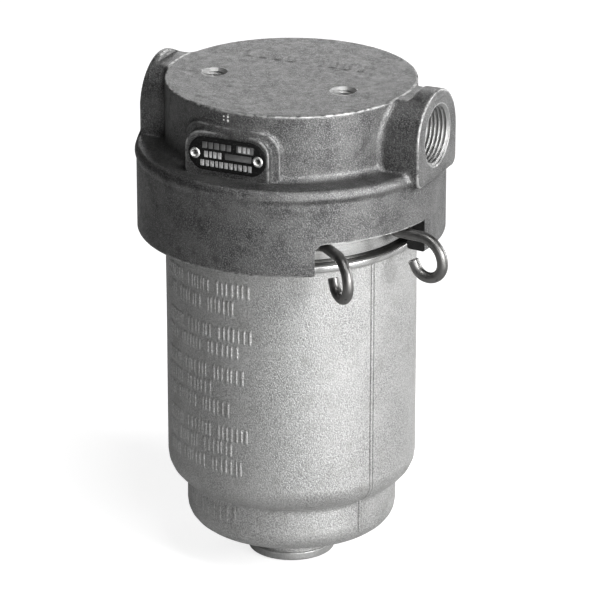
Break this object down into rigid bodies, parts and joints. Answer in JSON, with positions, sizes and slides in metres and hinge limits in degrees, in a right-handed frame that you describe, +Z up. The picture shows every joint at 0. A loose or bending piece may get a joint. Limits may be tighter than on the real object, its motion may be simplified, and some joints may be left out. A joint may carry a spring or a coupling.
{
  "type": "compressed air filter",
  "caption": "Compressed air line filter: cast head with threaded side ports and top mounting holes, deep bowl held by a spring-wire snap ring, inner filter element and automatic drain.",
  "frame": {"origin": "centre of the head's flat top mounting face", "axes": "+Z up along the bowl's axis, out of the top mounting face; +X along the port axis towards the outlet; -Y towards the name plate; the snap ring's hooks stand at about -32 degrees about +Z from +X"},
  "size_m": [0.1225, 0.1112, 0.1832],
  "materials": {
    "cast_head": "matt die-cast skin, darkened, machined where it seals",
    "cast_bowl": "blasted die-cast skin, machined neck",
    "black_plate": "black enamel with bare raised fields",
    "rivet_metal": "bright hollow rivet",
    "spring_steel": "dark oiled spring steel, burnished on the bends",
    "seal_rubber": "moulded nitrile rubber",
    "stainless_sheet": "drawn stainless sheet and gauze",
    "zinc_plate": "zinc-plated steel",
    "filter_felt": "wound cotton filter yarn",
    "turned_brass": "turned brass"
  },
  "bodies": {
    "head": {"head_casting": "cast_head", "name_plate": "black_plate", "plate_rivet_left": "rivet_metal", "plate_rivet_right": "rivet_metal", "hub_gasket": "seal_rubber", "baffle_bell": "stainless_sheet", "element_gasket_top": "seal_rubber", "element_top_cap": "zinc_plate", "element_core_tube": "zinc_plate", "filter_media": "filter_felt", "element_bottom_cap": "zinc_plate", "element_gasket_bottom": "seal_rubber", "tie_rod": "zinc_plate", "tie_rod_washer": "zinc_plate", "tie_rod_nut": "zinc_plate"},
    "bowl": {"bowl_casting": "cast_bowl", "bowl_o_ring": "seal_rubber", "drain_seat_plate": "turned_brass", "drain_seat_o_ring": "seal_rubber", "drain_retaining_ring": "spring_steel", "strainer_gauze": "stainless_sheet", "strainer_cap": "stainless_sheet", "outlet_seat_bush": "turned_brass", "drain_valve_spring": "spring_steel"},
    "snap_ring_left": {"snap_ring_left": "spring_steel"},
    "snap_ring_right": {"snap_ring_right": "spring_steel"},
    "drain_valve": {"drain_valve_body": "turned_brass", "drain_valve_seal": "seal_rubber", "test_pin": "turned_brass"}
  },
  "joints": [
    {"name": "bowl_release", "type": "slide", "parent": "head", "child": "bowl", "axis": [0, 0, -1], "range_m": [0, 0.11], "deforming": ["snap_ring_left", "snap_ring_right"]},
    {"name": "snap_ring_squeeze", "type": "hinge", "parent": "bowl", "child": "snap_ring_left", "pos_m": [-0.04054, 0.02533, -0.0464], "axis": [0, 0, 1], "range_deg": [0, 2.3], "stiffness_Nm_per_rad": 4},
    {"name": "snap_ring_squeeze_right", "type": "hinge", "parent": "snap_ring_left", "child": "snap_ring_right", "pos_m": [-0.04054, 0.02533, -0.0464], "axis": [0, 0, 1], "range_deg": [-4.6, 0], "stiffness_Nm_per_rad": 1},
    {"name": "drain_valve_lift", "type": "slide", "parent": "bowl", "child": "drain_valve", "axis": [0, 0, 1], "range_m": [0, 0.002], "stiffness_N_per_m": 400, "springref_m": -0.005, "deforming": ["drain_valve_spring"]}
  ],
  "couplings": [
    {"joint": "snap_ring_squeeze_right", "follows": "snap_ring_squeeze", "ratio": -2}
  ]
}
